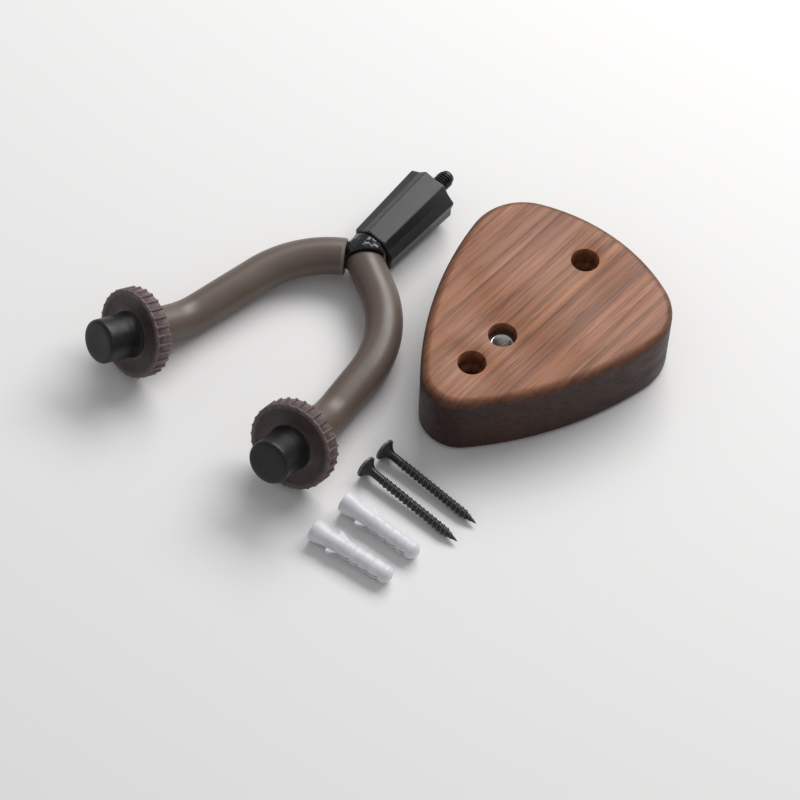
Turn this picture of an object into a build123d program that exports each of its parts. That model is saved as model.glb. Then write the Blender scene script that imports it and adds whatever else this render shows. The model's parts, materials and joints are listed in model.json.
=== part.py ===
from build123d import *
import os
from math import atan2, cos, pi, radians, sin, sqrt

# Wall guitar hanger, laid out flat as it is supplied: the pick-shaped base on its back, the
# yoke beside it, and the two wall screws and two wall plugs in front.  Millimetres.
# Origin: the centre of the threaded insert on the base's back face.  +Z comes out of the
# base's front face, +Y points up the wall once the base is mounted, +X to its right.

# Base board
BASE_THICKNESS = 25.0
BASE_TOP_Y = 56.8            # highest point of the outline, above the insert
BASE_TIP_Y = -33.0           # lowest point of the outline
TOP_ARC_RADIUS = 64.5        # long arc over the wide end
TOP_ARC_HALF_ANGLE = 24.5    # how far that arc reaches either side of the middle
SHOULDER_RADIUS = 19.5
SIDE_RADIUS = 120.0
TIP_RADIUS = 13.3
FRONT_EDGE_RADIUS = 3.2
BACK_EDGE_RADIUS = 2.0

# Holes in the base
UPPER_SCREW_Y = 41.5
LOWER_SCREW_Y = -15.0
COUNTERBORE_RADIUS = 4.7
COUNTERBORE_DEPTH = 7.0
SCREW_SEAT_DEPTH = 1.4
SCREW_HOLE_RADIUS = 2.4
POCKET_RADIUS = 4.75
POCKET_DEPTH = 4.5

# Threaded insert, M6
INSERT_LENGTH = 13.0
INSERT_RADIUS = 4.0
INSERT_RIDGE_RADIUS = 4.7
INSERT_RIDGE_PITCH = 2.6
INSERT_RIDGE_LAND = 0.4       # plain barrel on either side of a ridge
INSERT_RIDGES = 4
INSERT_CHAMFER = 0.6          # at the mouth of the bore
M6_BORE_RADIUS = 2.5
M6_RADIUS = 3.0

# Where the yoke lies: the centre of the grip's mouth, and the swivel axis's direction
YOKE_X = -62.2
YOKE_Y = 7.1
YOKE_YAW = 2.4
YOKE_PITCH = 2.6

# Grip that turns the stud into the base, and what it holds, along its own axis
GRIP_LENGTH = 31.0
GRIP_FRONT_RADIUS = 9.0      # to the ridges, at the mouth
GRIP_BACK_RADIUS = 10.2       # to the ridges, at the wall end
GRIP_SIDES = 8
GRIP_FLUTE_DEPTH = 0.55       # how far the crease along each side is sunk
GRIP_ROLL = 10.0
GRIP_EDGE = 0.5
MOUTH_RADIUS = 6.3
MOUTH_DEPTH = 4.5
CORE_RADIUS = 5.8
CORE_END = 27.5
CHAMBER_START = 16.0
CHAMBER_RADIUS = 4.7
SHANK_RADIUS = 3.5
RUNNING_GAP = 0.05
SHANK_END = 19.5
GROOVE_START = 16.3
GROOVE_WIDTH = 1.1
GROOVE_RADIUS = 2.7
CLIP_RADIUS = 4.4
CLIP_OPENING = 3.6
WASHER_THICKNESS = 1.0
WASHER_RADIUS = 5.6
STUD_PLUG_START = 21.0
STUD_LENGTH = 10.0            # what stands out of the grip's back
STUD_HOLE_GAP = 0.1
STUD_NECK_RADIUS = 2.6        # plain neck through the grip's back wall
STUD_NECK_LENGTH = 0.6        # how far it shows beyond the grip
STUD_TIP_LENGTH = 1.5
STUD_TIP_RADIUS = 2.0

# Yoke arms, in the plane of the yoke: the two rods meet at one point ahead of the grip
ARM_MEETING = 4.9            # from the grip's mouth to that point
ARM_START_LEFT = 6.0         # from that point to where each rod and hose begins
ARM_START_RIGHT = 3.0
ARM_ANGLE = 59.2             # between the swivel axis and each arm where it starts
ARM_BEND_RADIUS = 38.0
SPLAY_LEFT = 13.0            # the arms are bent by hand, so the two splays differ
SPLAY_RIGHT = 5.5
RING_SPACING = 67.8
RING_REACH = 79.4            # from the grip's mouth to the line through both rings
TIP_RISE_ANGLE = 26.0
TIP_LENGTH = 21.6            # from the upward bend to the ring
TIP_BEND_RADIUS = 24.0
ROD_RADIUS = 3.0
HOSE_RADIUS = 6.3
CROWN_RADIUS = 7.8           # where the crown faces the grip's mouth
CROWN_GAP = 0.35             # between the crown and the grip
CROWN_ROUND_START = 3.6      # from the mouth, where the crown starts to round off
CROWN_TIP = 12.2             # from the mouth, the crown's front end
CROWN_STEPS = 8              # facets of that rounding, along the axis
CROWN_CUT_SIZE = 60.0        # of the block that trims the crown square for each arm
BOSS_RADIUS = 5.9            # the part of the crown inside the mouth
BOSS_LENGTH = 3.4
ARM_SEAT_GAP = 0.1

# Keeper rings and end caps, along each tip, measured from the ring's middle
RING_RADIUS = 14.4           # to the floor between the ridges
RING_RIDGE_RADIUS = 14.9
RING_RIDGES = 30
RING_RIDGE_WIDTH = 0.9
RING_THICKNESS = 5.6
RING_LIP_RADIUS = 14.65
RING_LIP_THICKNESS = 0.6
RING_BORE_GAP = 0.08
RING_END_GAP = 0.25
CAP_RADIUS = 7.3
CAP_FLARE_RADIUS = 7.8
CAP_FLARE_LENGTH = 1.2
CAP_LENGTH = 12.8
CAP_EDGE_RADIUS = 1.3
ROD_IN_CAP = 9.0

# Wall screws, 4 x 40 with bugle heads
SCREW_LENGTH = 40.0
SCREW_HEAD_RADIUS = 3.8
SCREW_HEAD_RIM = 0.6
SCREW_HEAD_LENGTH = 4.2
SCREW_FLARE_STEPS = 6
SCREW_SHANK_RADIUS = 1.35
SCREW_THREAD_RADIUS = 1.7
SCREW_THREAD_START = 9.0
SCREW_THREAD_RAMP = 0.5
SCREW_POINT_LENGTH = 5.5
CROSS_RECESS_WIDTH = 4.0
CROSS_RECESS_SLOT = 1.1
CROSS_RECESS_DEPTH = 2.2

# Wall plugs, 6 x 30
PLUG_LENGTH = 30.0
PLUG_HEAD_RADIUS = 3.6
PLUG_HEAD_LENGTH = 2.0
PLUG_TAPER_END = 5.5         # where the flare below the head has run out
PLUG_NECK_RADIUS = 2.8
PLUG_RING_RADIUS = 3.0
PLUG_RING_PITCH = 3.6
PLUG_RING_LENGTH = 2.6       # of each pitch; the rest is the groove
PLUG_GROOVE_RADIUS = 2.65
PLUG_RINGS = 4
PLUG_RINGS_START = 11.5
PLUG_NOSE_LENGTH = 2.6
PLUG_NOSE_STEPS = 4
PLUG_BORE_RADIUS = 1.7
PLUG_BORE_END_RADIUS = 0.85
PLUG_BORE_DEPTH = 26.0
PLUG_SLOT_WIDTH = 0.7
PLUG_SLOT_START = 9.5
PLUG_SLOT_END = 26.5
PLUG_WING_START = 7.4
PLUG_WING_LENGTH = 6.6
PLUG_WING_RADIUS = 4.4
PLUG_WING_FOOT = 2.0          # how deep a wing's root sits, from the axis
PLUG_WING_LAND = 1.0
PLUG_WING_WIDTH = 1.2

# Where the loose pieces lie: x and y of the middle of the head's face, and the heading
SCREW_PLACES = [(-7.7, -56.8, -0.5), (-7.7, -47.8, -0.4)]
PLUG_PLACES = [(-3.5, -85.4, 6.5), (-3.4, -71.0, 1.9)]
SCREW_TILT = 3.2
PLUG_TILT = 1.0


def on_circle(centre, radius, heading):
    """Point at a heading measured clockwise from +Y."""
    return Vector(centre) + Vector(sin(heading), cos(heading)) * radius


def clockwise_arc(centre, radius, start, end):
    """Arc between two headings, both measured clockwise from +Y in radians."""
    middle = (start + end) / 2
    points = [on_circle(centre, radius, heading) for heading in (start, middle, end)]
    return ThreePointArc(*points)


def revolved(profile):
    """Solid of revolution about X from (x, radius) points; the axis closes the outline."""
    outline = Polyline(*[(x, radius, 0) for x, radius in profile], close=True)
    return revolve(make_face(outline), axis=Axis.X)


def tube(start, end, outer, inner):
    """Tube along Y between two stations."""
    ring = Plane.XZ.offset(-start) * (Circle(outer) - Circle(inner))
    return extrude(ring, -(end - start))


def rod_y(start, end, radius):
    """Cylinder along Y between two stations."""
    return extrude(Plane.XZ.offset(-start) * Circle(radius), -(end - start))


# ---------------------------------------------------------------- base and insert

def base_outline():
    """Guitar-pick outline: four tangent arcs on each side of the middle line."""
    top = Vector(0, BASE_TOP_Y - TOP_ARC_RADIUS)
    top_end = radians(TOP_ARC_HALF_ANGLE)
    shoulder = on_circle(top, TOP_ARC_RADIUS - SHOULDER_RADIUS, top_end)
    tip = Vector(0, BASE_TIP_Y + TIP_RADIUS)
    to_shoulder = SIDE_RADIUS - SHOULDER_RADIUS
    to_tip = SIDE_RADIUS - TIP_RADIUS
    gap = tip - shoulder
    along = (to_shoulder**2 - to_tip**2 + gap.length**2) / (2 * gap.length)
    across = sqrt(to_shoulder**2 - along**2)
    unit = gap.normalized()
    side = shoulder + unit * along + Vector(unit.Y, -unit.X) * across
    shoulder_end = atan2(shoulder.X - side.X, shoulder.Y - side.Y)
    side_end = atan2(tip.X - side.X, tip.Y - side.Y)
    right = [
        clockwise_arc(top, TOP_ARC_RADIUS, 0, top_end),
        clockwise_arc(shoulder, SHOULDER_RADIUS, top_end, shoulder_end),
        clockwise_arc(side, SIDE_RADIUS, shoulder_end, side_end),
        clockwise_arc(tip, TIP_RADIUS, side_end, pi),
    ]
    left = [mirror(arc, about=Plane.YZ) for arc in right]
    return make_face(right + left)


def screw_hole(y):
    """Counterbore, bugle seat and clearance hole, as one cutter."""
    floor = BASE_THICKNESS - COUNTERBORE_DEPTH
    seat = floor - SCREW_SEAT_DEPTH
    counterbore = Pos(0, y, floor) * Cylinder(
        COUNTERBORE_RADIUS, COUNTERBORE_DEPTH + 1, align=(Align.CENTER, Align.CENTER, Align.MIN)
    )
    cone = Pos(0, y, seat) * Cone(
        SCREW_HOLE_RADIUS,
        SCREW_HEAD_RADIUS,
        SCREW_SEAT_DEPTH,
        align=(Align.CENTER, Align.CENTER, Align.MIN),
    )
    hole = Pos(0, y, -1) * Cylinder(
        SCREW_HOLE_RADIUS, seat + 1, align=(Align.CENTER, Align.CENTER, Align.MIN)
    )
    return counterbore + cone + hole


def insert_outside():
    """Outside of the insert: a plain barrel with knife ridges that bite into the wood."""
    top = BASE_THICKNESS - POCKET_DEPTH
    profile = [(0, 0), (INSERT_RADIUS, 0)]
    start = (INSERT_LENGTH - INSERT_RIDGES * INSERT_RIDGE_PITCH) / 2
    for ridge in range(INSERT_RIDGES):
        foot = start + ridge * INSERT_RIDGE_PITCH
        profile.append((INSERT_RADIUS, foot + INSERT_RIDGE_LAND))
        profile.append((INSERT_RIDGE_RADIUS, foot + INSERT_RIDGE_PITCH / 2))
        profile.append((INSERT_RADIUS, foot + INSERT_RIDGE_PITCH - INSERT_RIDGE_LAND))
    profile += [(INSERT_RADIUS, INSERT_LENGTH), (0, INSERT_LENGTH)]
    outline = Polyline(*[(radius, 0, z) for radius, z in profile], close=True)
    barrel = revolve(make_face(outline), axis=Axis.Z)
    return Pos(0, 0, top - INSERT_LENGTH) * barrel


def wood_base():
    board = extrude(base_outline(), BASE_THICKNESS)
    board = fillet(board.faces().sort_by(Axis.Z)[-1].edges(), FRONT_EDGE_RADIUS)
    board = fillet(board.faces().sort_by(Axis.Z)[0].edges(), BACK_EDGE_RADIUS)
    board -= screw_hole(UPPER_SCREW_Y)
    board -= screw_hole(LOWER_SCREW_Y)
    pocket = Pos(0, 0, BASE_THICKNESS - POCKET_DEPTH) * Cylinder(
        POCKET_RADIUS, POCKET_DEPTH + 1, align=(Align.CENTER, Align.CENTER, Align.MIN)
    )
    return board - pocket - insert_outside()


def threaded_insert():
    top = BASE_THICKNESS - POCKET_DEPTH
    bore = Pos(0, 0, top - INSERT_LENGTH / 2) * Cylinder(M6_BORE_RADIUS, INSERT_LENGTH + 1)
    lead_in = Pos(0, 0, top - INSERT_CHAMFER) * Cone(
        M6_BORE_RADIUS,
        M6_BORE_RADIUS + INSERT_CHAMFER,
        INSERT_CHAMFER,
        align=(Align.CENTER, Align.CENTER, Align.MIN),
    )
    return insert_outside() - bore - lead_in


# ---------------------------------------------------------------- grip and swivel

def flute_section(ridge_radius):
    """Octagon with each side sunk to a crease along its middle, in the grip's cross-section."""
    step = 2 * pi / GRIP_SIDES
    crease_radius = ridge_radius * cos(step / 2) - GRIP_FLUTE_DEPTH
    points = []
    for index in range(GRIP_SIDES):
        points.append(on_circle((0, 0), crease_radius, index * step))
        points.append(on_circle((0, 0), ridge_radius, (index + 0.5) * step))
    return make_face(Polyline(*points, close=True))


def collar_grip():
    """Tapered, fluted plastic grip over the steel core."""
    front = Plane.XZ * flute_section(GRIP_FRONT_RADIUS)
    back = Plane.XZ.offset(-GRIP_LENGTH) * flute_section(GRIP_BACK_RADIUS)
    shell = loft([front, back])
    shell = Rot(0, GRIP_ROLL, 0) * shell
    ends = shell.faces().sort_by(Axis.Y)
    shell = chamfer(ends[0].edges() + ends[-1].edges(), GRIP_EDGE)
    shell -= rod_y(-1, MOUTH_DEPTH, MOUTH_RADIUS)
    shell -= rod_y(MOUTH_DEPTH, CORE_END, CORE_RADIUS)
    return shell - rod_y(CORE_END, GRIP_LENGTH + 1, M6_RADIUS + STUD_HOLE_GAP)


def steel_core():
    """Sleeve in the grip: a journal in front, and an open chamber for the clip behind."""
    core = rod_y(MOUTH_DEPTH, CORE_END, CORE_RADIUS)
    core -= rod_y(MOUTH_DEPTH - 1, CHAMBER_START, SHANK_RADIUS + RUNNING_GAP)
    return core - rod_y(CHAMBER_START, CORE_END + 1, CHAMBER_RADIUS)


def threaded_stud():
    """M6 stud; its plain plug is pressed into the back of the core."""
    plug = rod_y(STUD_PLUG_START, CORE_END, CHAMBER_RADIUS)
    neck_end = GRIP_LENGTH + STUD_NECK_LENGTH
    neck = rod_y(CORE_END, neck_end, STUD_NECK_RADIUS)
    thread_end = GRIP_LENGTH + STUD_LENGTH - STUD_TIP_LENGTH
    thread = rod_y(neck_end, thread_end, M6_RADIUS)
    tip = Plane.XZ.offset(-thread_end) * Circle(M6_RADIUS)
    nose = Plane.XZ.offset(-thread_end - STUD_TIP_LENGTH) * Circle(STUD_TIP_RADIUS)
    return plug + neck + thread + loft([tip, nose])


def thrust_washer():
    start = MOUTH_DEPTH - WASHER_THICKNESS - RUNNING_GAP
    return tube(start, start + WASHER_THICKNESS, WASHER_RADIUS, SHANK_RADIUS + RUNNING_GAP)


def retaining_clip():
    """C-shaped clip in the shank's groove; it bears on the end of the journal."""
    start = GROOVE_START + RUNNING_GAP
    clip = tube(start, start + GROOVE_WIDTH - 2 * RUNNING_GAP, CLIP_RADIUS, GROOVE_RADIUS)
    mouth = Pos(0, start, -CLIP_RADIUS) * Box(CLIP_OPENING, 4 * GROOVE_WIDTH, 2 * CLIP_RADIUS)
    return clip - mouth


def arm_heading(side):
    """Unit vector along an arm where it leaves the crown; side is -1 left, +1 right."""
    angle = radians(ARM_ANGLE)
    return Vector(side * sin(angle), -cos(angle), 0)


def meeting_point():
    return Vector(0, -ARM_MEETING, 0)


def arm_start(side):
    return ARM_START_LEFT if side < 0 else ARM_START_RIGHT


def crown_shank():
    """Welded crown between the two arm ends, and the shank that turns in the core."""
    outline = [(0, -CROWN_GAP), (CROWN_RADIUS, -CROWN_GAP)]
    for step in range(CROWN_STEPS):
        angle = step * pi / 2 / CROWN_STEPS
        reach = (CROWN_TIP - CROWN_ROUND_START) * sin(angle)
        outline.append((CROWN_RADIUS * cos(angle), -CROWN_ROUND_START - reach))
    outline.append((0, -CROWN_TIP))
    profile = make_face(Polyline(*outline, close=True))
    crown = revolve(profile, axis=Axis.Y)
    for side in (-1, 1):
        heading = arm_heading(side)
        seat = meeting_point() + heading * (arm_start(side) - ARM_SEAT_GAP)
        face = Plane(origin=seat, z_dir=heading) * Rectangle(CROWN_CUT_SIZE, CROWN_CUT_SIZE)
        crown -= extrude(face, CROWN_CUT_SIZE)
    boss = rod_y(-CROWN_GAP, BOSS_LENGTH, BOSS_RADIUS)
    shank = rod_y(BOSS_LENGTH, SHANK_END, SHANK_RADIUS)
    groove = tube(GROOVE_START, GROOVE_START + GROOVE_WIDTH, SHANK_RADIUS + 1, GROOVE_RADIUS)
    return crown + boss + shank - groove


# ---------------------------------------------------------------- arms, rings and caps

def splay(side):
    return SPLAY_LEFT if side < 0 else SPLAY_RIGHT


def tip_heading(side):
    """Unit vector along the raised tip of an arm, towards its end."""
    turn = radians(splay(side))
    rise = radians(TIP_RISE_ANGLE)
    return Vector(side * sin(turn) * cos(rise), -cos(turn) * cos(rise), sin(rise))


def bend_point(side):
    """Corner of the upward bend, in the yoke's plane."""
    turn = radians(splay(side))
    flat_run = TIP_LENGTH * cos(radians(TIP_RISE_ANGLE))
    ring_x = side * RING_SPACING / 2
    return Vector(ring_x - side * sin(turn) * flat_run, -RING_REACH + cos(turn) * flat_run, 0)


def ring_centre(side):
    return bend_point(side) + tip_heading(side) * TIP_LENGTH


def shoulder_point(side):
    """Corner of the wide bend, where the arm's first run would meet its second."""
    first = arm_heading(side)
    turn = radians(splay(side))
    second = Vector(side * sin(turn), -cos(turn), 0)
    gap = bend_point(side) - meeting_point()
    reach = (gap.X * second.Y - gap.Y * second.X) / (first.X * second.Y - first.Y * second.X)
    return meeting_point() + first * reach


def arm_path(side, end):
    """Centre line of an arm from the crown to a distance past the ring's middle."""
    start = meeting_point() + arm_heading(side) * arm_start(side)
    finish = ring_centre(side) + tip_heading(side) * end
    corners = [start, shoulder_point(side), bend_point(side), finish]
    return FilletPolyline(*corners, radius=[ARM_BEND_RADIUS, TIP_BEND_RADIUS])


def arm_solid(side, end, outer, inner=0.0):
    path = arm_path(side, end)
    section = Plane(origin=path @ 0, z_dir=path % 0) * Circle(outer)
    if inner:
        section -= Plane(origin=path @ 0, z_dir=path % 0) * Circle(inner)
    return sweep(section, path=path)


def yoke_rod(side):
    return arm_solid(side, RING_THICKNESS / 2 + RING_END_GAP + ROD_IN_CAP, ROD_RADIUS)


def hose(side):
    """Rubber sleeve over the rod, from the crown to the back of the keeper ring."""
    return arm_solid(side, -RING_THICKNESS / 2 - RING_END_GAP, HOSE_RADIUS, ROD_RADIUS)


def tip_plane(side, distance):
    """Plane across a tip, at a distance past the ring's middle."""
    heading = tip_heading(side)
    across = Vector(0, 0, 1).cross(heading)
    return Plane(origin=ring_centre(side) + heading * distance, x_dir=across, z_dir=heading)


def keeper_ring(side):
    """Flanged ring with a ridged edge, free to turn on the rod."""
    section = Circle(RING_RADIUS)
    ridge = Pos(RING_RIDGE_RADIUS - RING_RIDGE_WIDTH, 0) * Rectangle(
        2 * RING_RIDGE_WIDTH, RING_RIDGE_WIDTH
    )
    for index in range(RING_RIDGES):
        section += Rot(0, 0, index * 360 / RING_RIDGES) * ridge
    disc = extrude(section, RING_THICKNESS)
    lip = Pos(0, 0, RING_THICKNESS - RING_LIP_THICKNESS) * extrude(
        Circle(RING_LIP_RADIUS), RING_LIP_THICKNESS
    )
    bore = Cylinder(ROD_RADIUS + RING_BORE_GAP, 4 * RING_THICKNESS)
    return tip_plane(side, -RING_THICKNESS / 2).location * (disc + lip - bore)


def end_cap(side):
    """Rubber cap pushed over the rod's end."""
    start = RING_THICKNESS / 2 + RING_END_GAP
    cap = extrude(Circle(CAP_RADIUS), CAP_LENGTH)
    cap = fillet(cap.faces().sort_by(Axis.Z)[-1].edges(), CAP_EDGE_RADIUS)
    cap += Cone(
        CAP_FLARE_RADIUS,
        CAP_RADIUS,
        CAP_FLARE_LENGTH,
        align=(Align.CENTER, Align.CENTER, Align.MIN),
    )
    socket = extrude(Circle(ROD_RADIUS), ROD_IN_CAP)
    return tip_plane(side, start).location * (cap - socket)


# ---------------------------------------------------------------- screws and plugs

def wall_screw():
    """Screw along +X, its head's face at the origin; the thread is a plain cylinder."""
    thread_end = SCREW_LENGTH - SCREW_POINT_LENGTH
    head = [(0, 0), (0, SCREW_HEAD_RADIUS), (SCREW_HEAD_RIM, SCREW_HEAD_RADIUS)]
    for step in range(1, SCREW_FLARE_STEPS + 1):
        share = step / SCREW_FLARE_STEPS
        x = SCREW_HEAD_RIM + share * (SCREW_HEAD_LENGTH - SCREW_HEAD_RIM)
        flare = (SCREW_HEAD_RADIUS - SCREW_SHANK_RADIUS) * (1 - share) ** 2
        head.append((x, SCREW_SHANK_RADIUS + flare))
    body = [
        (SCREW_THREAD_START, SCREW_SHANK_RADIUS),
        (SCREW_THREAD_START + SCREW_THREAD_RAMP, SCREW_THREAD_RADIUS),
        (thread_end, SCREW_THREAD_RADIUS),
        (SCREW_LENGTH, 0),
    ]
    screw = revolved(head + body)
    for angle in (0, 90):
        arm = Box(2 * CROSS_RECESS_DEPTH, CROSS_RECESS_WIDTH, CROSS_RECESS_SLOT)
        screw -= Rot(angle + 45, 0, 0) * arm
    return screw


def wall_plug():
    """Plug along +X, its open head at the origin."""
    profile = [
        (0, 0),
        (0, PLUG_HEAD_RADIUS),
        (PLUG_HEAD_LENGTH, PLUG_HEAD_RADIUS),
        (PLUG_TAPER_END, PLUG_NECK_RADIUS),
        (PLUG_RINGS_START, PLUG_NECK_RADIUS),
    ]
    for ring in range(PLUG_RINGS):
        groove_end = PLUG_RINGS_START + (ring + 1) * PLUG_RING_PITCH
        profile.append((groove_end - PLUG_RING_LENGTH, PLUG_RING_RADIUS))
        profile.append((groove_end - PLUG_RING_PITCH + PLUG_RING_LENGTH, PLUG_RING_RADIUS))
        profile.append((groove_end, PLUG_GROOVE_RADIUS))
    nose_start = PLUG_LENGTH - PLUG_NOSE_LENGTH
    for step in range(PLUG_NOSE_STEPS):
        angle = step * pi / 2 / PLUG_NOSE_STEPS
        x = nose_start + PLUG_NOSE_LENGTH * sin(angle)
        profile.append((x, PLUG_RING_RADIUS * cos(angle)))
    plug = revolved(profile + [(PLUG_LENGTH, 0)])
    for side in (-1, 1):
        wing = Polyline(
            (PLUG_WING_START, side * PLUG_WING_FOOT),
            (PLUG_WING_START, side * PLUG_WING_RADIUS),
            (PLUG_WING_START + PLUG_WING_LAND, side * PLUG_WING_RADIUS),
            (PLUG_WING_START + PLUG_WING_LENGTH, side * PLUG_WING_FOOT),
            close=True,
        )
        plug += extrude(make_face(wing), PLUG_WING_WIDTH / 2, both=True)
    bore = Rot(0, 90, 0) * Cone(
        PLUG_BORE_RADIUS,
        PLUG_BORE_END_RADIUS,
        PLUG_BORE_DEPTH,
        align=(Align.CENTER, Align.CENTER, Align.MIN),
    )
    slot = Pos((PLUG_SLOT_START + PLUG_SLOT_END) / 2, 0, 0) * Box(
        PLUG_SLOT_END - PLUG_SLOT_START, 4 * PLUG_HEAD_RADIUS, PLUG_SLOT_WIDTH
    )
    return plug - bore - slot


# ---------------------------------------------------------------- assembly

def yoke_place(height):
    """The yoke's own frame: origin in the grip's mouth, +Y along the swivel axis."""
    return Pos(YOKE_X, YOKE_Y, height) * Rot(0, 0, YOKE_YAW) * Rot(YOKE_PITCH, 0, 0)


def laid_down(piece, place, tilt):
    """Turn a loose piece onto its heading, tip it nose down, and rest it on z = 0."""
    x, y, heading = place
    turned = Pos(x, y, 0) * Rot(0, 0, heading) * Rot(0, tilt, 0) * piece
    return Pos(0, 0, -turned.bounding_box().min.Z) * turned


def pieces():
    """Every piece in its place, by node name."""
    on_yoke = {
        "collar_grip": collar_grip(),
        "steel_core": steel_core(),
        "threaded_stud": threaded_stud(),
        "thrust_washer": thrust_washer(),
        "retaining_clip": retaining_clip(),
        "crown_shank": crown_shank(),
    }
    for name, side in (("left", -1), ("right", 1)):
        on_yoke[f"yoke_rod_{name}"] = yoke_rod(side)
        on_yoke[f"hose_{name}"] = hose(side)
        on_yoke[f"keeper_ring_{name}"] = keeper_ring(side)
        on_yoke[f"end_cap_{name}"] = end_cap(side)
    flat = Compound(children=[yoke_place(0) * piece for piece in on_yoke.values()])
    place = yoke_place(-flat.bounding_box().min.Z)
    placed = {name: place * piece for name, piece in on_yoke.items()}
    placed["wood_base"] = wood_base()
    placed["threaded_insert"] = threaded_insert()
    for index, place in enumerate(SCREW_PLACES, start=1):
        placed[f"wall_screw_{index}"] = laid_down(wall_screw(), place, SCREW_TILT)
    for index, place in enumerate(PLUG_PLACES, start=1):
        placed[f"wall_plug_{index}"] = laid_down(wall_plug(), place, PLUG_TILT)
    return placed


if __name__ == "__main__":
    os.makedirs("parts", exist_ok=True)
    for name, piece in pieces().items():
        export_step(piece, f"parts/{name}.step")
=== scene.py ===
import json
from math import acos, ceil, cos, pi, radians, sin, tan

import bmesh
import bpy
import numpy as np
from mathutils import Matrix, Vector, noise


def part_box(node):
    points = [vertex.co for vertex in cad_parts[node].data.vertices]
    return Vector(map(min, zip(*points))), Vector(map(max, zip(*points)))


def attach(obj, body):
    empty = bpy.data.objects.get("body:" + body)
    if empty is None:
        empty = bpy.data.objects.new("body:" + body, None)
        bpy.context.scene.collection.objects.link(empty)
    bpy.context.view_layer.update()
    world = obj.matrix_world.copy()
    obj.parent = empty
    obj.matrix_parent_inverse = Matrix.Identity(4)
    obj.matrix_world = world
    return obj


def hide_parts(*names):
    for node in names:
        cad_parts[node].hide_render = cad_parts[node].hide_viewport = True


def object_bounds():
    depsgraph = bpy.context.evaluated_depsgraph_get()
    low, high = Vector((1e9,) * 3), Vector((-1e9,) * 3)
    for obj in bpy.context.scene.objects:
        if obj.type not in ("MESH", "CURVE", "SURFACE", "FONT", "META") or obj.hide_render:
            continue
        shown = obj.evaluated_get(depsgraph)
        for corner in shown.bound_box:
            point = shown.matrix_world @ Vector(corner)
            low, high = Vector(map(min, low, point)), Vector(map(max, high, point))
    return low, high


# Wall guitar hanger laid out flat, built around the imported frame.  Metres, +Z up.

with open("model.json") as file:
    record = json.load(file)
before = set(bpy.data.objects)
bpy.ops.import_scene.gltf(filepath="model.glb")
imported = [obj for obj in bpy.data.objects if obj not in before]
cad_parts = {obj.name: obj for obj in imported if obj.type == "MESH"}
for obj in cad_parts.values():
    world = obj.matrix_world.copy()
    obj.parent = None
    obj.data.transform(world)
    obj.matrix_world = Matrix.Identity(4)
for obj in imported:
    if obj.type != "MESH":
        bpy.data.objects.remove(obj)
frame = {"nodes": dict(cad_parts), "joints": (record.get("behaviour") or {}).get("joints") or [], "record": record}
cad_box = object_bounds()
nodes = frame["nodes"]
joints = {joint["name"]: joint for joint in frame["joints"]}

MM = 0.001
UP = Vector((0, 0, 1))
THREAD_STEPS = 14                 # rings of vertices to a pitch
WEAR_GAIN = 3.5                   # how strongly an edge that stands out shows as rubbed

# Camera: the photograph's viewing angle
CAMERA_TARGET = Vector((-18.5, -27.9, 0)) * MM
CAMERA_AZIMUTH = 40.1
CAMERA_ELEVATION = 54.64
CAMERA_ROLL = 2.15
CAMERA_DISTANCE = 0.946
CAMERA_LENS = 130.5
CAMERA_SENSOR = 36

# Studio
FLOOR_REACH = 6.0                 # to each side of the middle
FLOOR_GAP = 0.02 * MM
FLOOR_COLOUR = (0.80, 0.79, 0.78, 1)
SKY_COLOUR = (0.97, 0.98, 1.0, 1)
SKY_STRENGTH = 0.42
KEY_PLACE = (-0.12, 0.75, 0.80)
KEY_TARGET = (-0.02, -0.02, 0)
KEY_SIZE = (1.1, 0.5)
KEY_POWER = 13.0

# Grip, along the swivel axis from its mouth
GRIP_LENGTH = 31.0 * MM
GRIP_FRONT_RADIUS = 9.0 * MM
GRIP_BACK_RADIUS = 10.2 * MM
GRIP_SIDES = 8
GRIP_FLUTE = 0.045                # how far each side's crease sinks, as a share of the radius
GRIP_RIDGE_CUT = 0.985            # share of the radius at which the ridges are broken
GRIP_ROLL = radians(10)
GRIP_EDGE = 0.5 * MM
GRIP_MOUTH_RADIUS = 6.3 * MM
GRIP_MOUTH_DEPTH = 4.5 * MM
GRIP_MOUTH_LEAD = 0.3 * MM
GRIP_MOUTH_FLARE = 0.2 * MM
GRIP_CORNER = 0.15 * MM           # halfway round each rounded end edge
GRIP_LINING = 3.6 * MM            # inner wall, just clear of the shank
GRIP_STUD_HOLE = 3.2 * MM
GRIP_STUD_HOLE_DEPTH = 2 * MM

# Stud, along the same axis, with an M6 thread
M6_CREST = 3.0 * MM
M6_ROOT = 2.45 * MM
M6_PITCH = 1.0 * MM
STUD_PLUG_START = 21 * MM         # plug hidden in the core
STUD_PLUG_RADIUS = 4.6 * MM
STUD_START = 27.5 * MM
STUD_NECK = 2.6 * MM
STUD_THREAD_START = 31.6 * MM
STUD_THREAD_END = 39.5 * MM
STUD_END = 41.0 * MM

# Wall screws, along each one from its head's face
SCREW_CREST = 1.7 * MM
SCREW_ROOT = 1.35 * MM
SCREW_PITCH = 1.75 * MM
SCREW_THREAD_START = 6.6 * MM
SCREW_POINT = 5.5 * MM
SCREW_LENGTH = 40.0 * MM
SCREW_HEAD_RADIUS = 3.8 * MM
SCREW_HEAD_LENGTH = 4.2 * MM
SCREW_HEAD_RIM = 0.6 * MM
SCREW_HEAD_BREAK = 0.12 * MM
SCREW_TIP = 0.4 * MM              # left off the point, which ends blunt
CROSS_SLOT = 0.55 * MM
CROSS_REACH = 2.0 * MM
CROSS_DEPTH = 2.2 * MM
CROSS_FLANK = 0.12 * MM           # width over which a slot's side falls
CROSS_END = 0.3 * MM              # and its end

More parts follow.
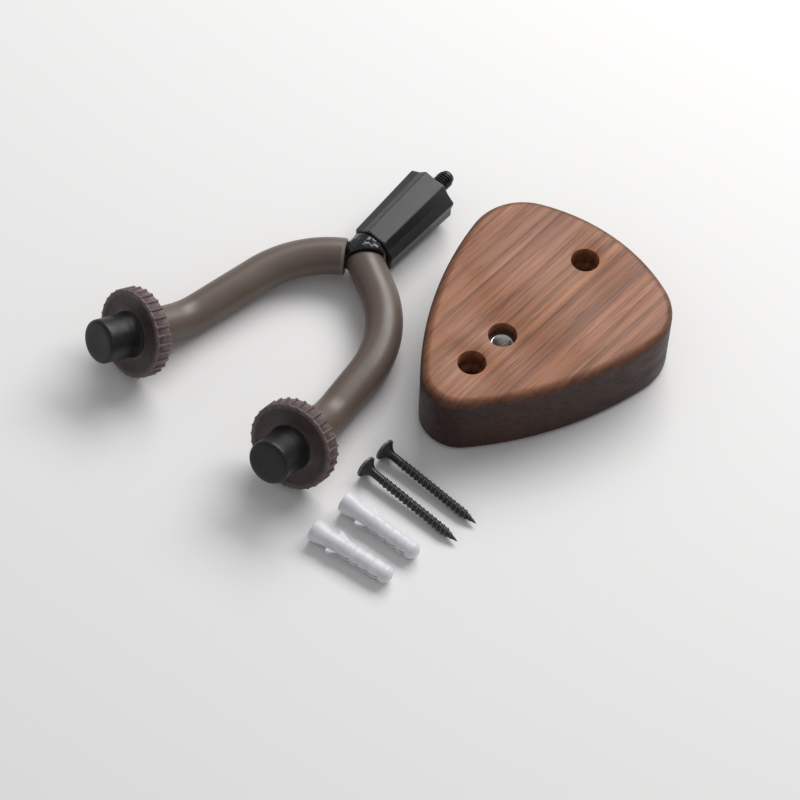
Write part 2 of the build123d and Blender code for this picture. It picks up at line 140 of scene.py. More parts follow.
# Arms, in the yoke's plane
ARM_MEETING = 4.9 * MM
ARM_START = {"left": 6.0 * MM, "right": 3.0 * MM}
ARM_ANGLE = radians(59.2)
ARM_BEND = 38.0 * MM
TIP_LENGTH = 21.6 * MM
TIP_BEND = 24.0 * MM
HOSE_RADIUS = 6.27 * MM
HOSE_BORE = 3.3 * MM
HOSE_RIM = 0.7 * MM
HOSE_STEP = 1.0 * MM
RIGHT_HOSE_MITRE = 3.6 * MM       # its cut end reaches further along the fork's inner side
MITRE_RUN = 8.0 * MM              # length over which that lean fades away

# Crown, where the arms meet
CROWN_GAP = 0.1 * MM
CROWN_VOXEL = 0.25 * MM
CROWN_LUMPS = 0.3 * MM
CROWN_LUMP_SIZE = 1.7 * MM

# Insert, up from its lower end
INSERT_RADIUS = 4.0 * MM
INSERT_BORE = 3.05 * MM
INSERT_THREAD_DEPTH = 0.5 * MM
INSERT_LEAD_IN = 0.5 * MM         # above the thread's end
INSERT_THREAD_STEPS = 12          # rings of vertices to a pitch
INSERT_TOP_EDGE = ((0, 3.8), (0.15, 3.98))          # depth below the top and radius, mm
INSERT_MOUTH = ((0.1, 3.2), (0, 3.35))
INSERT_TOP_BREAK = 0.4 * MM

# Base
BASE_TOP = 25.0 * MM
BASE_ROUND = 3.2 * MM
BASE_BREAK = 0.3 * MM
EDGE_DARKENING_POWER = 0.42           # below 1, so the edge's darkening reaches in over the face
RIM_DEPTH = 0.25 * MM             # rim of each hole, left without the painted shade
WALL_SHADE = 0.62                 # painted shade on the holes' walls
FLOOR_SHADE = 0.35                # lighter painted shade on the counterbores' floors, between these depths
FLOOR_DEPTHS = (6.5 * MM, 8.6 * MM)
HOLE_RADIUS = 5.2 * MM
HOLE_PLACES = ((0, 41.5 * MM), (0, -15.0 * MM), (0, 0))

# Wall plugs
PLUG_VOXEL = 0.16 * MM

# Keeper rings and end caps, along each arm's tip from the ring's middle
RING_THICKNESS = 5.6 * MM
RING_FLOOR = 14.4 * MM
RING_RIDGE = 14.9 * MM
RING_LIP = 14.65 * MM
RING_LIP_THICKNESS = 0.6 * MM
RING_RIDGES = 30
RING_RIDGE_WIDTH = 0.9 * MM
RING_RIDGE_FLANK = 0.35 * MM
RING_BORE = 3.08 * MM
RING_EDGE = 0.2 * MM
RING_BACK_EDGE = 0.25 * MM
RING_FRONT_EDGE = 0.3 * MM
RING_LIP_STEP = 0.02 * MM
RING_BACK = ((0, 9), (0.35, 9.6), (0.35, 12.2), (0, 12.8))     # depth below the face and radius, mm
RING_FRONT = ((0, 13.4), (0.3, 12.7), (0.35, 9), (0.1, 8.2))
CAP_RADIUS = 7.3 * MM
CAP_FLARE = 7.8 * MM
CAP_LENGTH = 12.8 * MM
CAP_GAP = 0.25 * MM
CAP_FOOT = 6.9 * MM
CAP_FOOT_BREAK = 0.25 * MM
CAP_FLARE_END = 0.8 * MM
CAP_FLARE_FALL = 0.15 * MM
CAP_BODY_START = 1.6 * MM
CAP_EDGE = 1.3 * MM
CAP_FACE = ((0.05, 0.6), (0.12, 0.25))     # depth of its dish, mm, and share of the radius


# ---------------------------------------------------------------- mesh helpers

def mesh_object(name, verts, faces):
    """A new smooth-shaded mesh object in the scene."""
    mesh = bpy.data.meshes.new(name)
    mesh.from_pydata([tuple(v) for v in verts], [], faces)
    mesh.update()
    piece = bpy.data.objects.new(name, mesh)
    bpy.context.scene.collection.objects.link(piece)
    work = bmesh.new()
    work.from_mesh(mesh)
    bmesh.ops.recalc_face_normals(work, faces=work.faces)
    work.to_mesh(mesh)
    work.free()
    return piece


def shade(piece, angle=35):
    """Smooth shading that keeps edges sharper than the angle crisp."""
    mesh = piece.data
    mesh.polygons.foreach_set("use_smooth", [True] * len(mesh.polygons))
    mesh.set_sharp_from_angle(angle=radians(angle))
    return piece


def finish_piece(piece, material, slot_name, body, *replaced):
    """Give a new piece its material, its body and the nodes that it stands for. The slot name, slot_name, is not
    used.
    """
    piece.data.materials.clear()
    piece.data.materials.append(material)
    mark_wear(piece)
    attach(piece, body)
    if replaced:
        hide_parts(*replaced)
    return piece


def side_and_up(axis):
    """Unit vectors across an axis: level, and as near to +Z as it allows."""
    across = axis.cross(UP)
    if across.length < 1e-6:
        across = Vector((1, 0, 0))
    across.normalize()
    return across, across.cross(axis).normalized()


def turned(name, origin, axis, stations, segments, closed=False):
    """Surface around an axis. A station is (distance, radius), and either may be an array over the
    headings, measured from up towards the side. An open surface ends in points on the axis."""
    side, up = side_and_up(axis)
    headings = np.linspace(0, 2 * pi, segments, endpoint=False)
    across = np.outer(np.sin(headings), side) + np.outer(np.cos(headings), up)
    base = np.array(origin)
    along = np.array(axis)
    verts = []
    for distance, radius in stations:
        distances = np.broadcast_to(distance, segments)
        radii = np.broadcast_to(radius, segments)
        verts.extend(base + np.outer(distances, along) + across * radii[:, None])
    faces = []
    count = len(stations)
    for row in range(count if closed else count - 1):
        low = row * segments
        high = (row + 1) % count * segments
        for k in range(segments):
            nxt = (k + 1) % segments
            faces.append((low + k, low + nxt, high + nxt, high + k))
    if not closed:
        for row, backwards in ((0, True), (count - 1, False)):
            centre = len(verts)
            middle = np.mean(np.broadcast_to(stations[row][0], segments))
            verts.append(base + middle * along)
            for k in range(segments):
                rim = (row * segments + k, row * segments + (k + 1) % segments)
                faces.append((centre, *(rim[::-1] if backwards else rim)))
    return mesh_object(name, verts, faces)


def arc_stations(centre, radius, start, end, steps):
    """Stations along an arc in the (distance, radius) plane, angles in degrees from +distance."""
    angles = np.radians(np.linspace(start, end, steps))
    return [(centre[0] + radius * cos(a), centre[1] + radius * sin(a)) for a in angles]


def screw_thread(position, crest, root):
    """Radius of a 60-degree thread with narrow flats; position counts pitches."""
    wave = np.abs((position % 1.0) - 0.5) * 2
    return root + (crest - root) * np.clip(1.25 * wave - 0.12, 0, 1)


def mark_wear(piece):
    """Store how far each vertex stands out from its neighbours, so that edges can look rubbed."""
    mesh = piece.data
    places = np.empty(len(mesh.vertices) * 3)
    mesh.vertices.foreach_get("co", places)
    places = places.reshape(-1, 3)
    normals = np.array([vertex.normal for vertex in mesh.vertices])
    ends = np.empty(len(mesh.edges) * 2, dtype=int)
    mesh.edges.foreach_get("vertices", ends)
    first, second = ends.reshape(-1, 2).T
    along = places[first] - places[second]
    along /= np.maximum(np.linalg.norm(along, axis=1), 1e-9)[:, None]
    total = np.zeros(len(places))
    count = np.zeros(len(places))
    np.add.at(total, first, (normals[first] * along).sum(axis=1))
    np.add.at(total, second, -(normals[second] * along).sum(axis=1))
    np.add.at(count, first, 1)
    np.add.at(count, second, 1)
    wear = np.clip(total / np.maximum(count, 1) * WEAR_GAIN, 0, 1)
    mesh.attributes.new("wear", "FLOAT", "POINT").data.foreach_set("value", wear)


def softened(name, source, voxel, lumps=0.0, lump_size=1.0):
    """Copy of a CAD piece with softened edges, as moulded or welded, and optional lumps."""
    mesh = source.data.copy()
    piece = bpy.data.objects.new(name, mesh)
    bpy.context.scene.collection.objects.link(piece)
    remesh = piece.modifiers.new("remesh", "REMESH")
    remesh.mode = "VOXEL"
    remesh.voxel_size = voxel
    smooth = piece.modifiers.new("smooth", "SMOOTH")
    smooth.factor = 0.5
    smooth.iterations = 3
    depsgraph = bpy.context.evaluated_depsgraph_get()
    piece.data = bpy.data.meshes.new_from_object(piece.evaluated_get(depsgraph))
    piece.modifiers.clear()
    if lumps:
        for vertex in piece.data.vertices:
            height = noise.noise(vertex.co / lump_size)
            vertex.co -= vertex.normal * lumps * (0.5 + height)
    return shade(piece, 180)


# ---------------------------------------------------------------- material helpers

def new_material(name, roughness, metallic=0.0, specular=0.5):
    """Principled material and its node tree."""
    material = bpy.data.materials.new(name)
    material.use_nodes = True
    shader = material.node_tree.nodes["Principled BSDF"]
    shader.inputs["Roughness"].default_value = roughness
    shader.inputs["Metallic"].default_value = metallic
    shader.inputs["Specular IOR Level"].default_value = specular
    return material, material.node_tree, shader


def scaled_coordinates(tree, scale):
    """Object coordinates, stretched per axis."""
    coordinates = tree.nodes.new("ShaderNodeTexCoord")
    mapping = tree.nodes.new("ShaderNodeMapping")
    mapping.inputs["Scale"].default_value = scale
    tree.links.new(coordinates.outputs["Object"], mapping.inputs["Vector"])
    return mapping.outputs["Vector"]


def noise_texture(tree, scale, detail=3.0, stretch=(1, 1, 1), roughness=0.5, distortion=0.0):
    texture = tree.nodes.new("ShaderNodeTexNoise")
    texture.inputs["Scale"].default_value = scale
    texture.inputs["Detail"].default_value = detail
    texture.inputs["Roughness"].default_value = roughness
    texture.inputs["Distortion"].default_value = distortion
    tree.links.new(scaled_coordinates(tree, stretch), texture.inputs["Vector"])
    return texture.outputs["Fac"]


def ramp(tree, value, *stops):
    """Colour ramp from (position, colour) stops; a single number is a grey."""
    node = tree.nodes.new("ShaderNodeValToRGB")
    elements = node.color_ramp.elements
    while len(elements) < len(stops):
        elements.new(0.5)
    for element, (position, colour) in zip(elements, stops):
        element.position = position
        rgb = colour if isinstance(colour, tuple) else (colour,) * 3
        element.color = (*rgb, 1)
    tree.links.new(value, node.inputs["Fac"])
    return node.outputs["Color"]


def mixed(tree, factor, first, second, blend="MIX"):
    node = tree.nodes.new("ShaderNodeMix")
    node.data_type = "RGBA"
    node.blend_type = blend
    sockets = node.inputs["Factor"], node.inputs[6], node.inputs[7]
    for socket, value in zip(sockets, (factor, first, second)):
        if isinstance(value, bpy.types.NodeSocket):
            tree.links.new(value, socket)
        elif isinstance(value, tuple):
            socket.default_value = (*value, 1)
        else:
            socket.default_value = value
    return node.outputs[2]


def bumped(tree, shader, height, strength, distance):
    bump = tree.nodes.new("ShaderNodeBump")
    bump.inputs["Strength"].default_value = strength
    bump.inputs["Distance"].default_value = distance
    tree.links.new(height, bump.inputs["Height"])
    tree.links.new(bump.outputs["Normal"], shader.inputs["Normal"])


def attribute(tree, name):
    node = tree.nodes.new("ShaderNodeAttribute")
    node.attribute_name = name
    return node.outputs["Fac"]


def scuffed(
    name, dark, light, roughness, wear_scale, grain_scale, grain_depth,
    metallic=0.0, specular=0.5, worn=None
):
    """Moulded or coated surface: cloudy colour, rubbed edges, uneven gloss and a fine grain."""
    material, tree, shader = new_material(name, 0.5, metallic, specular)
    clouds = noise_texture(tree, wear_scale, 4.0)
    colour = ramp(tree, clouds, (0.35, dark), (0.7, light))
    if worn:
        patches = ramp(tree, noise_texture(tree, wear_scale * 3.1, 3.0), (0.3, 0.35), (0.7, 1.0))
        edges = ramp(tree, attribute(tree, "wear"), (0.08, 0.0), (0.7, 1.0))
        rubbed = mixed(tree, 1.0, patches, edges, "MULTIPLY")
        colour = mixed(tree, rubbed, colour, worn)
    tree.links.new(colour, shader.inputs["Base Color"])
    gloss = noise_texture(tree, wear_scale * 2.3, 3.0)
    low, high = roughness
    tree.links.new(ramp(tree, gloss, (0.3, low), (0.75, high)), shader.inputs["Roughness"])
    bumped(tree, shader, noise_texture(tree, grain_scale, 2.0), 0.5, grain_depth)
    return material


# ---------------------------------------------------------------- materials

def walnut():
    """Oiled walnut, its grain along the board's length, with darker sides and painted shade in its holes."""
    material, tree, shader = new_material("walnut", 0.5, specular=0.35)
    bands = noise_texture(tree, 80, 3.0, (1, 0.035, 0.5), distortion=0.3)
    streaks = noise_texture(tree, 620, 5.0, (1, 0.022, 1), roughness=0.65)
    pores = noise_texture(tree, 1700, 2.0, (1, 0.045, 1))
    lines = noise_texture(tree, 95, 2.0, (1, 0.012, 0.3))
    dark, middle, light = (0.170, 0.060, 0.029), (0.305, 0.121, 0.058), (0.420, 0.186, 0.092)
    wood = ramp(tree, bands, (0.30, dark), (0.5, middle), (0.72, light))
    fibre = ramp(tree, streaks, (0.32, 0.55), (0.5, 0.95), (0.7, 1.15))
    wood = mixed(tree, 0.8, wood, fibre, "MULTIPLY")
    figure = ramp(tree, lines, (0.475, 1.0), (0.5, 0.55), (0.525, 1.0))
    wood = mixed(tree, 0.8, wood, figure, "MULTIPLY")
    pits = ramp(tree, pores, (0.33, 0.55), (0.43, 1.0))
    wood = mixed(tree, 0.8, wood, pits, "MULTIPLY")
    # Multiply by dark brown: the sides darkened, and painted shade on the holes' walls and floors.
    wood = mixed(tree, attribute(tree, "side_darkening_and_hole_shade"), wood, (0.10, 0.058, 0.045), "MULTIPLY")
    tree.links.new(wood, shader.inputs["Base Color"])
    tree.links.new(ramp(tree, streaks, (0.3, 0.60), (0.7, 0.40)), shader.inputs["Roughness"])
    bumped(tree, shader, mixed(tree, 0.5, streaks, pits), 0.35, 0.00012)
    return material


def nylon(name):
    """Milky nylon that lets a little light through."""
    material, tree, shader = new_material(name, 0.42)
    clouds = noise_texture(tree, 260, 3.0)
    colour = ramp(tree, clouds, (0.3, (0.62, 0.62, 0.65)), (0.7, (0.70, 0.70, 0.72)))
    tree.links.new(colour, shader.inputs["Base Color"])
    shader.inputs["Subsurface Weight"].default_value = 0.35
    shader.inputs["Subsurface Radius"].default_value = (0.0015, 0.0014, 0.0013)
    bumped(tree, shader, noise_texture(tree, 900, 2.0), 0.25, 0.00008)
    return material


MATERIALS = {
    "walnut": walnut(),
    "brown_rubber": scuffed(
        "brown_rubber", (0.112, 0.082, 0.064), (0.130, 0.097, 0.076), (0.36, 0.46), 60, 2600, 0.00003,
        worn=(0.22, 0.18, 0.15)
    ),
    "ring_plastic": scuffed(
        "ring_plastic", (0.044, 0.029, 0.028), (0.062, 0.041, 0.039), (0.42, 0.6), 180, 2200, 0.00004,
        specular=0.4, worn=(0.21, 0.15, 0.14)
    ),
    "black_rubber": scuffed(
        "black_rubber", (0.004, 0.0042, 0.0046), (0.007, 0.0073, 0.008), (0.34, 0.48), 140, 1600,
        0.00005, specular=0.35, worn=(0.030, 0.031, 0.033)
    ),
    "black_plastic": scuffed(
        "black_plastic", (0.005, 0.005, 0.006), (0.009, 0.009, 0.010), (0.40, 0.50), 200, 2200, 0.00012,
        specular=0.8, worn=(0.040, 0.040, 0.043)
    ),
    "black_weld": scuffed(
        "black_weld", (0.006, 0.006, 0.007), (0.012, 0.012, 0.013), (0.12, 0.26), 300, 900, 0.00012
    ),
    "black_oxide": scuffed(
        "black_oxide", (0.004, 0.004, 0.005), (0.009, 0.009, 0.010), (0.24, 0.40), 500, 3000, 0.00002,
        specular=0.4, worn=(0.07, 0.07, 0.075)
    ),
    "phosphate": scuffed(
        "phosphate", (0.006, 0.0065, 0.0065), (0.012, 0.013, 0.013), (0.28, 0.45), 500, 3500, 0.00003,
        specular=0.45, worn=(0.20, 0.195, 0.185)
    ),
    "bright_steel": scuffed(
        "bright_steel", (0.52, 0.52, 0.53), (0.60, 0.60, 0.61), (0.22, 0.35), 300, 2500, 0.00002,
        metallic=1.0
    ),
    "zinc_steel": scuffed(
        "zinc_steel", (0.60, 0.61, 0.62), (0.72, 0.73, 0.74), (0.28, 0.42), 350, 2500, 0.000004,
        metallic=1.0
    ),
    "nylon": nylon("nylon"),
    "plug_nylon": nylon("plug_nylon"),
}


# ---------------------------------------------------------------- pieces

def joint_axis(name):
    joint = joints[name]
    return Vector(joint["pos_m"]), Vector(joint["axis"]).normalized()


def grip_radii(headings, ridge):
    """Eight sides, each sunk to a crease along its middle, with the ridges just broken."""
    step = 2 * pi / GRIP_SIDES
    offset = np.abs(((headings - GRIP_ROLL + step / 2) % step) - step / 2)
    crease = ridge * (cos(step / 2) - GRIP_FLUTE)
    half = step / 2
    slope_x = ridge * sin(half)
    slope_y = ridge * cos(half) - crease
    radius = crease * slope_x / (slope_x * np.cos(offset) - slope_y * np.sin(offset))
    return np.minimum(radius, ridge * GRIP_RIDGE_CUT)


def collar_grip():
    """Tapering eight-sided grip with its mouth and the stud's hole. Its wall is thicker than the
    CAD piece's: out of sight, it runs in through the core to the shank."""
    origin, axis = joint_axis("grip_swivel")
    segments = 320
    headings = np.linspace(0, 2 * pi, segments, endpoint=False)

    def station(distance, inset=0.0):
        share = distance / GRIP_LENGTH
        ridge = GRIP_FRONT_RADIUS + (GRIP_BACK_RADIUS - GRIP_FRONT_RADIUS) * share
        return distance, grip_radii(headings, ridge) - inset

    stations = [(GRIP_MOUTH_DEPTH, GRIP_LINING), (GRIP_MOUTH_DEPTH, GRIP_MOUTH_RADIUS)]
    stations += [(GRIP_MOUTH_LEAD, GRIP_MOUTH_RADIUS), (0.0, GRIP_MOUTH_RADIUS + GRIP_MOUTH_FLARE)]
    stations += [station(0.0, GRIP_EDGE), station(GRIP_CORNER, GRIP_CORNER), station(GRIP_EDGE)]
    stations += [station(GRIP_LENGTH * share) for share in np.linspace(0.05, 0.95, 19)]
    stations += [station(GRIP_LENGTH - GRIP_EDGE), station(GRIP_LENGTH - GRIP_CORNER, GRIP_CORNER)]
    hole_end = GRIP_LENGTH - GRIP_STUD_HOLE_DEPTH
    stations += [station(GRIP_LENGTH, GRIP_EDGE), (GRIP_LENGTH, GRIP_STUD_HOLE)]
    stations += [(hole_end, GRIP_STUD_HOLE), (hole_end, GRIP_LINING)]
    piece = turned("grip_shell", origin, axis, stations, segments, closed=True)
    finish_piece(shade(piece, 12), MATERIALS["black_plastic"], "black_plastic", "grip", "collar_grip")


def threaded_stud():
    """Hidden plug, plain neck, a run of M6 thread and a domed end."""
    origin, axis = joint_axis("grip_swivel")
    segments = 72
    headings = np.linspace(0, 2 * pi, segments, endpoint=False)
    stations = [(STUD_PLUG_START, STUD_PLUG_RADIUS), (STUD_START, STUD_PLUG_RADIUS)]
    stations += [(STUD_START, STUD_NECK), (STUD_THREAD_START, STUD_NECK)]
    length = STUD_THREAD_END - STUD_THREAD_START
    steps = ceil(length / M6_PITCH * THREAD_STEPS)
    for step in range(1, steps + 1):
        distance = STUD_THREAD_START + length * step / steps
        radii = screw_thread(distance / M6_PITCH - headings / (2 * pi), M6_CREST, M6_ROOT)
        fade = min(1.0, (STUD_THREAD_END - distance) / M6_PITCH, step / 8)
        stations.append((distance, M6_ROOT + (radii - M6_ROOT) * fade))
    for step in range(1, 9):
        angle = step / 8 * pi / 2
        reach = STUD_THREAD_END + (STUD_END - STUD_THREAD_END) * sin(angle)
        stations.append((reach, M6_ROOT * 0.15 + M6_ROOT * 0.85 * cos(angle)))
    piece = turned("stud_thread", origin, axis, stations, segments)
    finish_piece(shade(piece, 60), MATERIALS["black_oxide"], "black_oxide", "grip", "threaded_stud")


def unit(vector):
    return vector / vector.length


def arm_corners(name):
    """Corners of an arm's centre line, from the crown to the back of its keeper ring."""
    origin, axis = joint_axis("grip_swivel")
    centre, tip = joint_axis(f"ring_{name}_turn")
    if tip.dot(axis) > 0:
        tip = -tip
    bend = centre - tip * TIP_LENGTH
    meeting = origin - axis * ARM_MEETING
    plane = unit(axis.cross(bend - meeting))
    outward = unit(bend - meeting + axis * (meeting - bend).dot(axis))
    first = outward * sin(ARM_ANGLE) - axis * cos(ARM_ANGLE)
    second = unit(tip - plane * tip.dot(plane))
    gap = bend - meeting
    reach = gap.cross(second).dot(plane) / first.cross(second).dot(plane)
    finish = centre - tip * (RING_THICKNESS / 2 + CAP_GAP)
    return [meeting + first * ARM_START[name], meeting + first * reach, bend, finish]


def rounded_path(corners, radii, step):
    """Evenly spaced points along straight runs joined by tangent arcs."""
    points = [corners[0]]
    for before, corner, after, radius in zip(corners, corners[1:], corners[2:], radii):
        inward = unit(corner - before)
        outward = unit(after - corner)
        turn = acos(max(-1.0, min(1.0, inward.dot(outward))))
        start = corner - inward * radius * tan(turn / 2)
        bulge = unit(outward - inward * inward.dot(outward))
        centre = start + bulge * radius
        straight = start - points[-1]
        runs = ceil(straight.length / step)
        points += [points[-1] + straight * (k / runs) for k in range(1, runs + 1)]
        sweeps = ceil(radius * turn / step)
        for k in range(1, sweeps + 1):
            angle = turn * k / sweeps
            points.append(centre + (inward * sin(angle) - bulge * cos(angle)) * radius)
    straight = corners[-1] - points[-1]
    runs = ceil(straight.length / step)
    start = points[-1]
    return points + [start + straight * (k / runs) for k in range(1, runs + 1)]


def fork_inward(heading):
    """Unit vector across an arm, away from the grip and towards the inside of the fork."""
    forward = -joint_axis("grip_swivel")[1]
    return unit(forward - heading * forward.dot(heading))


def hose(name):
    """Rubber sleeve, its cut ends just rounded; the right one leans at the crown."""
    path = rounded_path(arm_corners(name), (ARM_BEND, TIP_BEND), HOSE_STEP)
    segments = 96
    headings = np.linspace(0, 2 * pi, segments, endpoint=False)
    first, last = unit(path[1] - path[0]), unit(path[-1] - path[-2])
    inner = fork_inward(first)
    mitre = RIGHT_HOSE_MITRE if name == "right" else 0.0
    rings = [(path[0], first, HOSE_BORE)]
    rings += [(path[0], first, HOSE_RADIUS - HOSE_RIM * share) for share in (1.6, 1.0)]
    for angle in np.radians([30, 60, 90]):
        rim = HOSE_RADIUS - HOSE_RIM * (1 - sin(angle))
        rings.append((path[0] + first * HOSE_RIM * (1 - cos(angle)), first, rim))
    for index in range(1, len(path) - 1):
        rings.append((path[index], unit(path[index + 1] - path[index - 1]), HOSE_RADIUS))
    for angle in np.radians([90, 60, 30, 0]):
        rim = HOSE_RADIUS - HOSE_RIM * (1 - sin(angle))
        rings.append((path[-1] - last * HOSE_RIM * (1 - cos(angle)), last, rim))
    rings.append((path[-1], last, HOSE_BORE))
    verts = []
    for place, along, radius in rings:
        side, up = side_and_up(along)
        across = np.outer(np.sin(headings), side) + np.outer(np.cos(headings), up)
        ring = np.array(place) + across * radius
        share = max(0.0, 1 - (place - path[0]).length / MITRE_RUN)
        lean = mitre * share * (across @ np.array(inner) + 1) / 2
        verts.extend(ring - np.outer(lean, np.array(first)))
    count = len(rings)
    faces = []
    for low in range(0, (count - 1) * segments, segments):
        high = low + segments
        for k in range(segments):
            nxt = (k + 1) % segments
            faces.append((low + k, low + nxt, high + nxt, high + k))
    faces += [tuple(range(segments)), tuple(range((count - 1) * segments, count * segments))]
    piece = mesh_object(f"sleeve_{name}", verts, faces)
    finish_piece(shade(piece, 50), MATERIALS["brown_rubber"], "brown_rubber", "yoke", f"hose_{name}")


def crown():
    """Lumpy black weld between the arms, trimmed to the right hose's leaning end."""
    piece = softened("welded_crown", nodes["crown_shank"], CROWN_VOXEL, CROWN_LUMPS, CROWN_LUMP_SIZE)
    corners = arm_corners("right")
    first = unit(corners[1] - corners[0])
    slope = RIGHT_HOSE_MITRE / (2 * HOSE_RADIUS)
    facing = unit(first + fork_inward(first) * slope)
    seat = corners[0] - first * (RIGHT_HOSE_MITRE / 2 + CROWN_GAP)
    for vertex in piece.data.vertices:
        beyond = (vertex.co - seat).dot(facing)
        if beyond > 0:
            vertex.co -= facing * beyond
    finish_piece(piece, MATERIALS["black_weld"], "black_weld", "yoke", "crown_shank")


def ring_radii(headings, floor, ridge):
    """Floor radius with narrow rounded ridges."""
    step = 2 * pi / RING_RIDGES
    offset = (np.abs(((headings + step / 2) % step) - step / 2)) * RING_RIDGE
    rise = np.clip((RING_RIDGE_WIDTH * 0.5 - offset) / RING_RIDGE_FLANK + 0.5, 0, 1)
    return floor + (ridge - floor) * (3 - 2 * rise) * rise * rise


def keeper_ring(name):
    """Ridged ring with a lip round its outer face and a shallow recess in each face."""
    origin, axis = joint_axis(f"ring_{name}_turn")
    segments = RING_RIDGES * 24
    headings = np.linspace(0, 2 * pi, segments, endpoint=False) + pi / 2
    half = RING_THICKNESS / 2
    ridged = ring_radii(headings, RING_FLOOR, RING_RIDGE)
    lipped = np.maximum(ridged, RING_LIP)
    lip = half - RING_LIP_THICKNESS
    stations = [(-half, RING_BORE)]
    stations += [(-half + depth * MM, radius * MM) for depth, radius in RING_BACK]
    stations += [(-half, ridged - RING_BACK_EDGE), (-half + RING_EDGE, ridged)]
    stations += [(lip, ridged), (lip + RING_LIP_STEP, lipped)]
    stations += [(half - RING_EDGE, lipped), (half, lipped - RING_FRONT_EDGE)]
    stations += [(half - depth * MM, radius * MM) for depth, radius in RING_FRONT]
    stations += [(half, RING_BORE)]
    piece = turned(f"ring_body_{name}", origin, axis, stations, segments, closed=True)
    material = MATERIALS["ring_plastic"]
    finish_piece(shade(piece, 60), material, "ring_plastic", f"ring_{name}", f"keeper_ring_{name}")


def end_cap(name):
    """Rubber cap with a flared foot, a rounded end and a slightly dished face."""
    origin, axis = joint_axis(f"ring_{name}_turn")
    start = RING_THICKNESS / 2 + CAP_GAP
    end = start + CAP_LENGTH
    stations = [(start, CAP_FOOT), (start + CAP_FOOT_BREAK, CAP_FLARE)]
    stations += [(start + CAP_FLARE_END, CAP_FLARE - CAP_FLARE_FALL)]
    stations += [(start + CAP_BODY_START, CAP_RADIUS)]
    stations += [(start + share * CAP_LENGTH, CAP_RADIUS) for share in (0.3, 0.5, 0.7)]
    stations += arc_stations((end - CAP_EDGE, CAP_RADIUS - CAP_EDGE), CAP_EDGE, 90, 8, 9)
    stations += [(end - depth * MM, CAP_RADIUS * share) for depth, share in CAP_FACE]
    piece = turned(f"cap_body_{name}", origin, axis, stations, 128)
    finish_piece(shade(piece, 50), MATERIALS["black_rubber"], "black_rubber", "yoke", f"end_cap_{name}")


def wall_screw(index):
    """Bugle-head screw with a cross recess and a coarse helical thread."""
    node = nodes[f"wall_screw_{index}"]
    origin, axis = screw_axis(node)
    segments = 96
    headings = np.linspace(0, 2 * pi, segments, endpoint=False)
    arm = np.minimum(np.abs(np.sin(headings - pi / 4)), np.abs(np.cos(headings - pi / 4)))
    stations = []
    for radius in np.linspace(0.12, SCREW_HEAD_RADIUS / MM - 0.15, 26) * MM:
        inside = np.clip((CROSS_SLOT - radius * arm) / CROSS_FLANK + 0.5, 0, 1)
        reach = np.clip((CROSS_REACH - radius) / CROSS_END + 0.5, 0, 1)
        floor_share = (1 - 0.55 * radius / CROSS_REACH).clip(0.2, 1)
        stations.append((CROSS_DEPTH * inside * reach * floor_share, radius))
    stations.append((SCREW_HEAD_BREAK, SCREW_HEAD_RADIUS))
    stations.append((SCREW_HEAD_RIM, SCREW_HEAD_RADIUS))
    for share in np.linspace(0.1, 1, 10):
        distance = SCREW_HEAD_RIM + share * (SCREW_HEAD_LENGTH - SCREW_HEAD_RIM)
        stations.append((distance, SCREW_ROOT + (SCREW_HEAD_RADIUS - SCREW_ROOT) * (1 - share) ** 2.2))
    thread_end = SCREW_LENGTH - SCREW_TIP
    steps = ceil((thread_end - SCREW_THREAD_START) / SCREW_PITCH * THREAD_STEPS)
    for step in range(steps + 1):
        distance = SCREW_THREAD_START + (thread_end - SCREW_THREAD_START) * step / steps
        wave = np.abs(((distance / SCREW_PITCH - headings / (2 * pi)) % 1.0) - 0.5) * 2
        height = np.clip(1.9 * wave - 0.85, 0, 1) * min(1.0, step / 18)
        taper = min(1.0, (SCREW_LENGTH - distance) / SCREW_POINT)
        radii = (SCREW_ROOT + (SCREW_CREST - SCREW_ROOT) * height) * taper
        stations.append((distance, radii))
    piece = turned(f"screw_body_{index}", origin, axis, stations, segments)
    finish_piece(shade(piece, 50), MATERIALS["phosphate"], "phosphate", f"screw_{index}", node.name)


def screw_axis(node):
    """Middle of the head's face and the direction to the point, from the CAD screw's own vertices."""
    points = np.array([v.co for v in node.data.vertices])
    tip = points[points[:, 0].argmax()]
    distance = np.linalg.norm(points - tip, axis=1)
    rim = points[distance > distance.max() - 0.02 * MM]
    head = (rim.min(axis=0) + rim.max(axis=0)) / 2
    axis = Vector(tip - head).normalized()
    return Vector(head), axis


def wall_plug(index):
    """The CAD plug with its edges softened."""
    node = nodes[f"wall_plug_{index}"]
    piece = softened(f"plug_body_{index}", node, PLUG_VOXEL)
    finish_piece(piece, MATERIALS["plug_nylon"], "plug_nylon", f"plug_{index}", node.name)


def insert_thread():
    """Threaded insert with a helical bore."""
    low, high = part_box("threaded_insert")
    origin = Vector(((low[0] + high[0]) / 2, (low[1] + high[1]) / 2, low[2]))
    length = high[2] - low[2]
    segments = 96
    headings = np.linspace(0, 2 * pi, segments, endpoint=False)
    stations = [(length - depth * MM, radius * MM) for depth, radius in INSERT_TOP_EDGE]
    stations += [(length - INSERT_TOP_BREAK, INSERT_RADIUS)]
    stations += [(0.0, INSERT_RADIUS), (0.0, M6_CREST)]
    thread = length - INSERT_LEAD_IN
    steps = ceil(thread / M6_PITCH * INSERT_THREAD_STEPS)
    for step in range(steps + 1):
        distance = thread * step / steps
        wave = np.abs(((distance / M6_PITCH - headings / (2 * pi)) % 1.0) - 0.5) * 2
        ridge = np.clip(1.3 * wave - 0.15, 0, 1)
        stations.append((distance, INSERT_BORE - INSERT_THREAD_DEPTH * ridge))
    stations += [(length - depth * MM, radius * MM) for depth, radius in INSERT_MOUTH]
    piece = turned("insert_body", origin, UP, stations, segments, closed=True)
    finish_piece(shade(piece, 50), MATERIALS["zinc_steel"], "zinc_steel", "base", "threaded_insert")


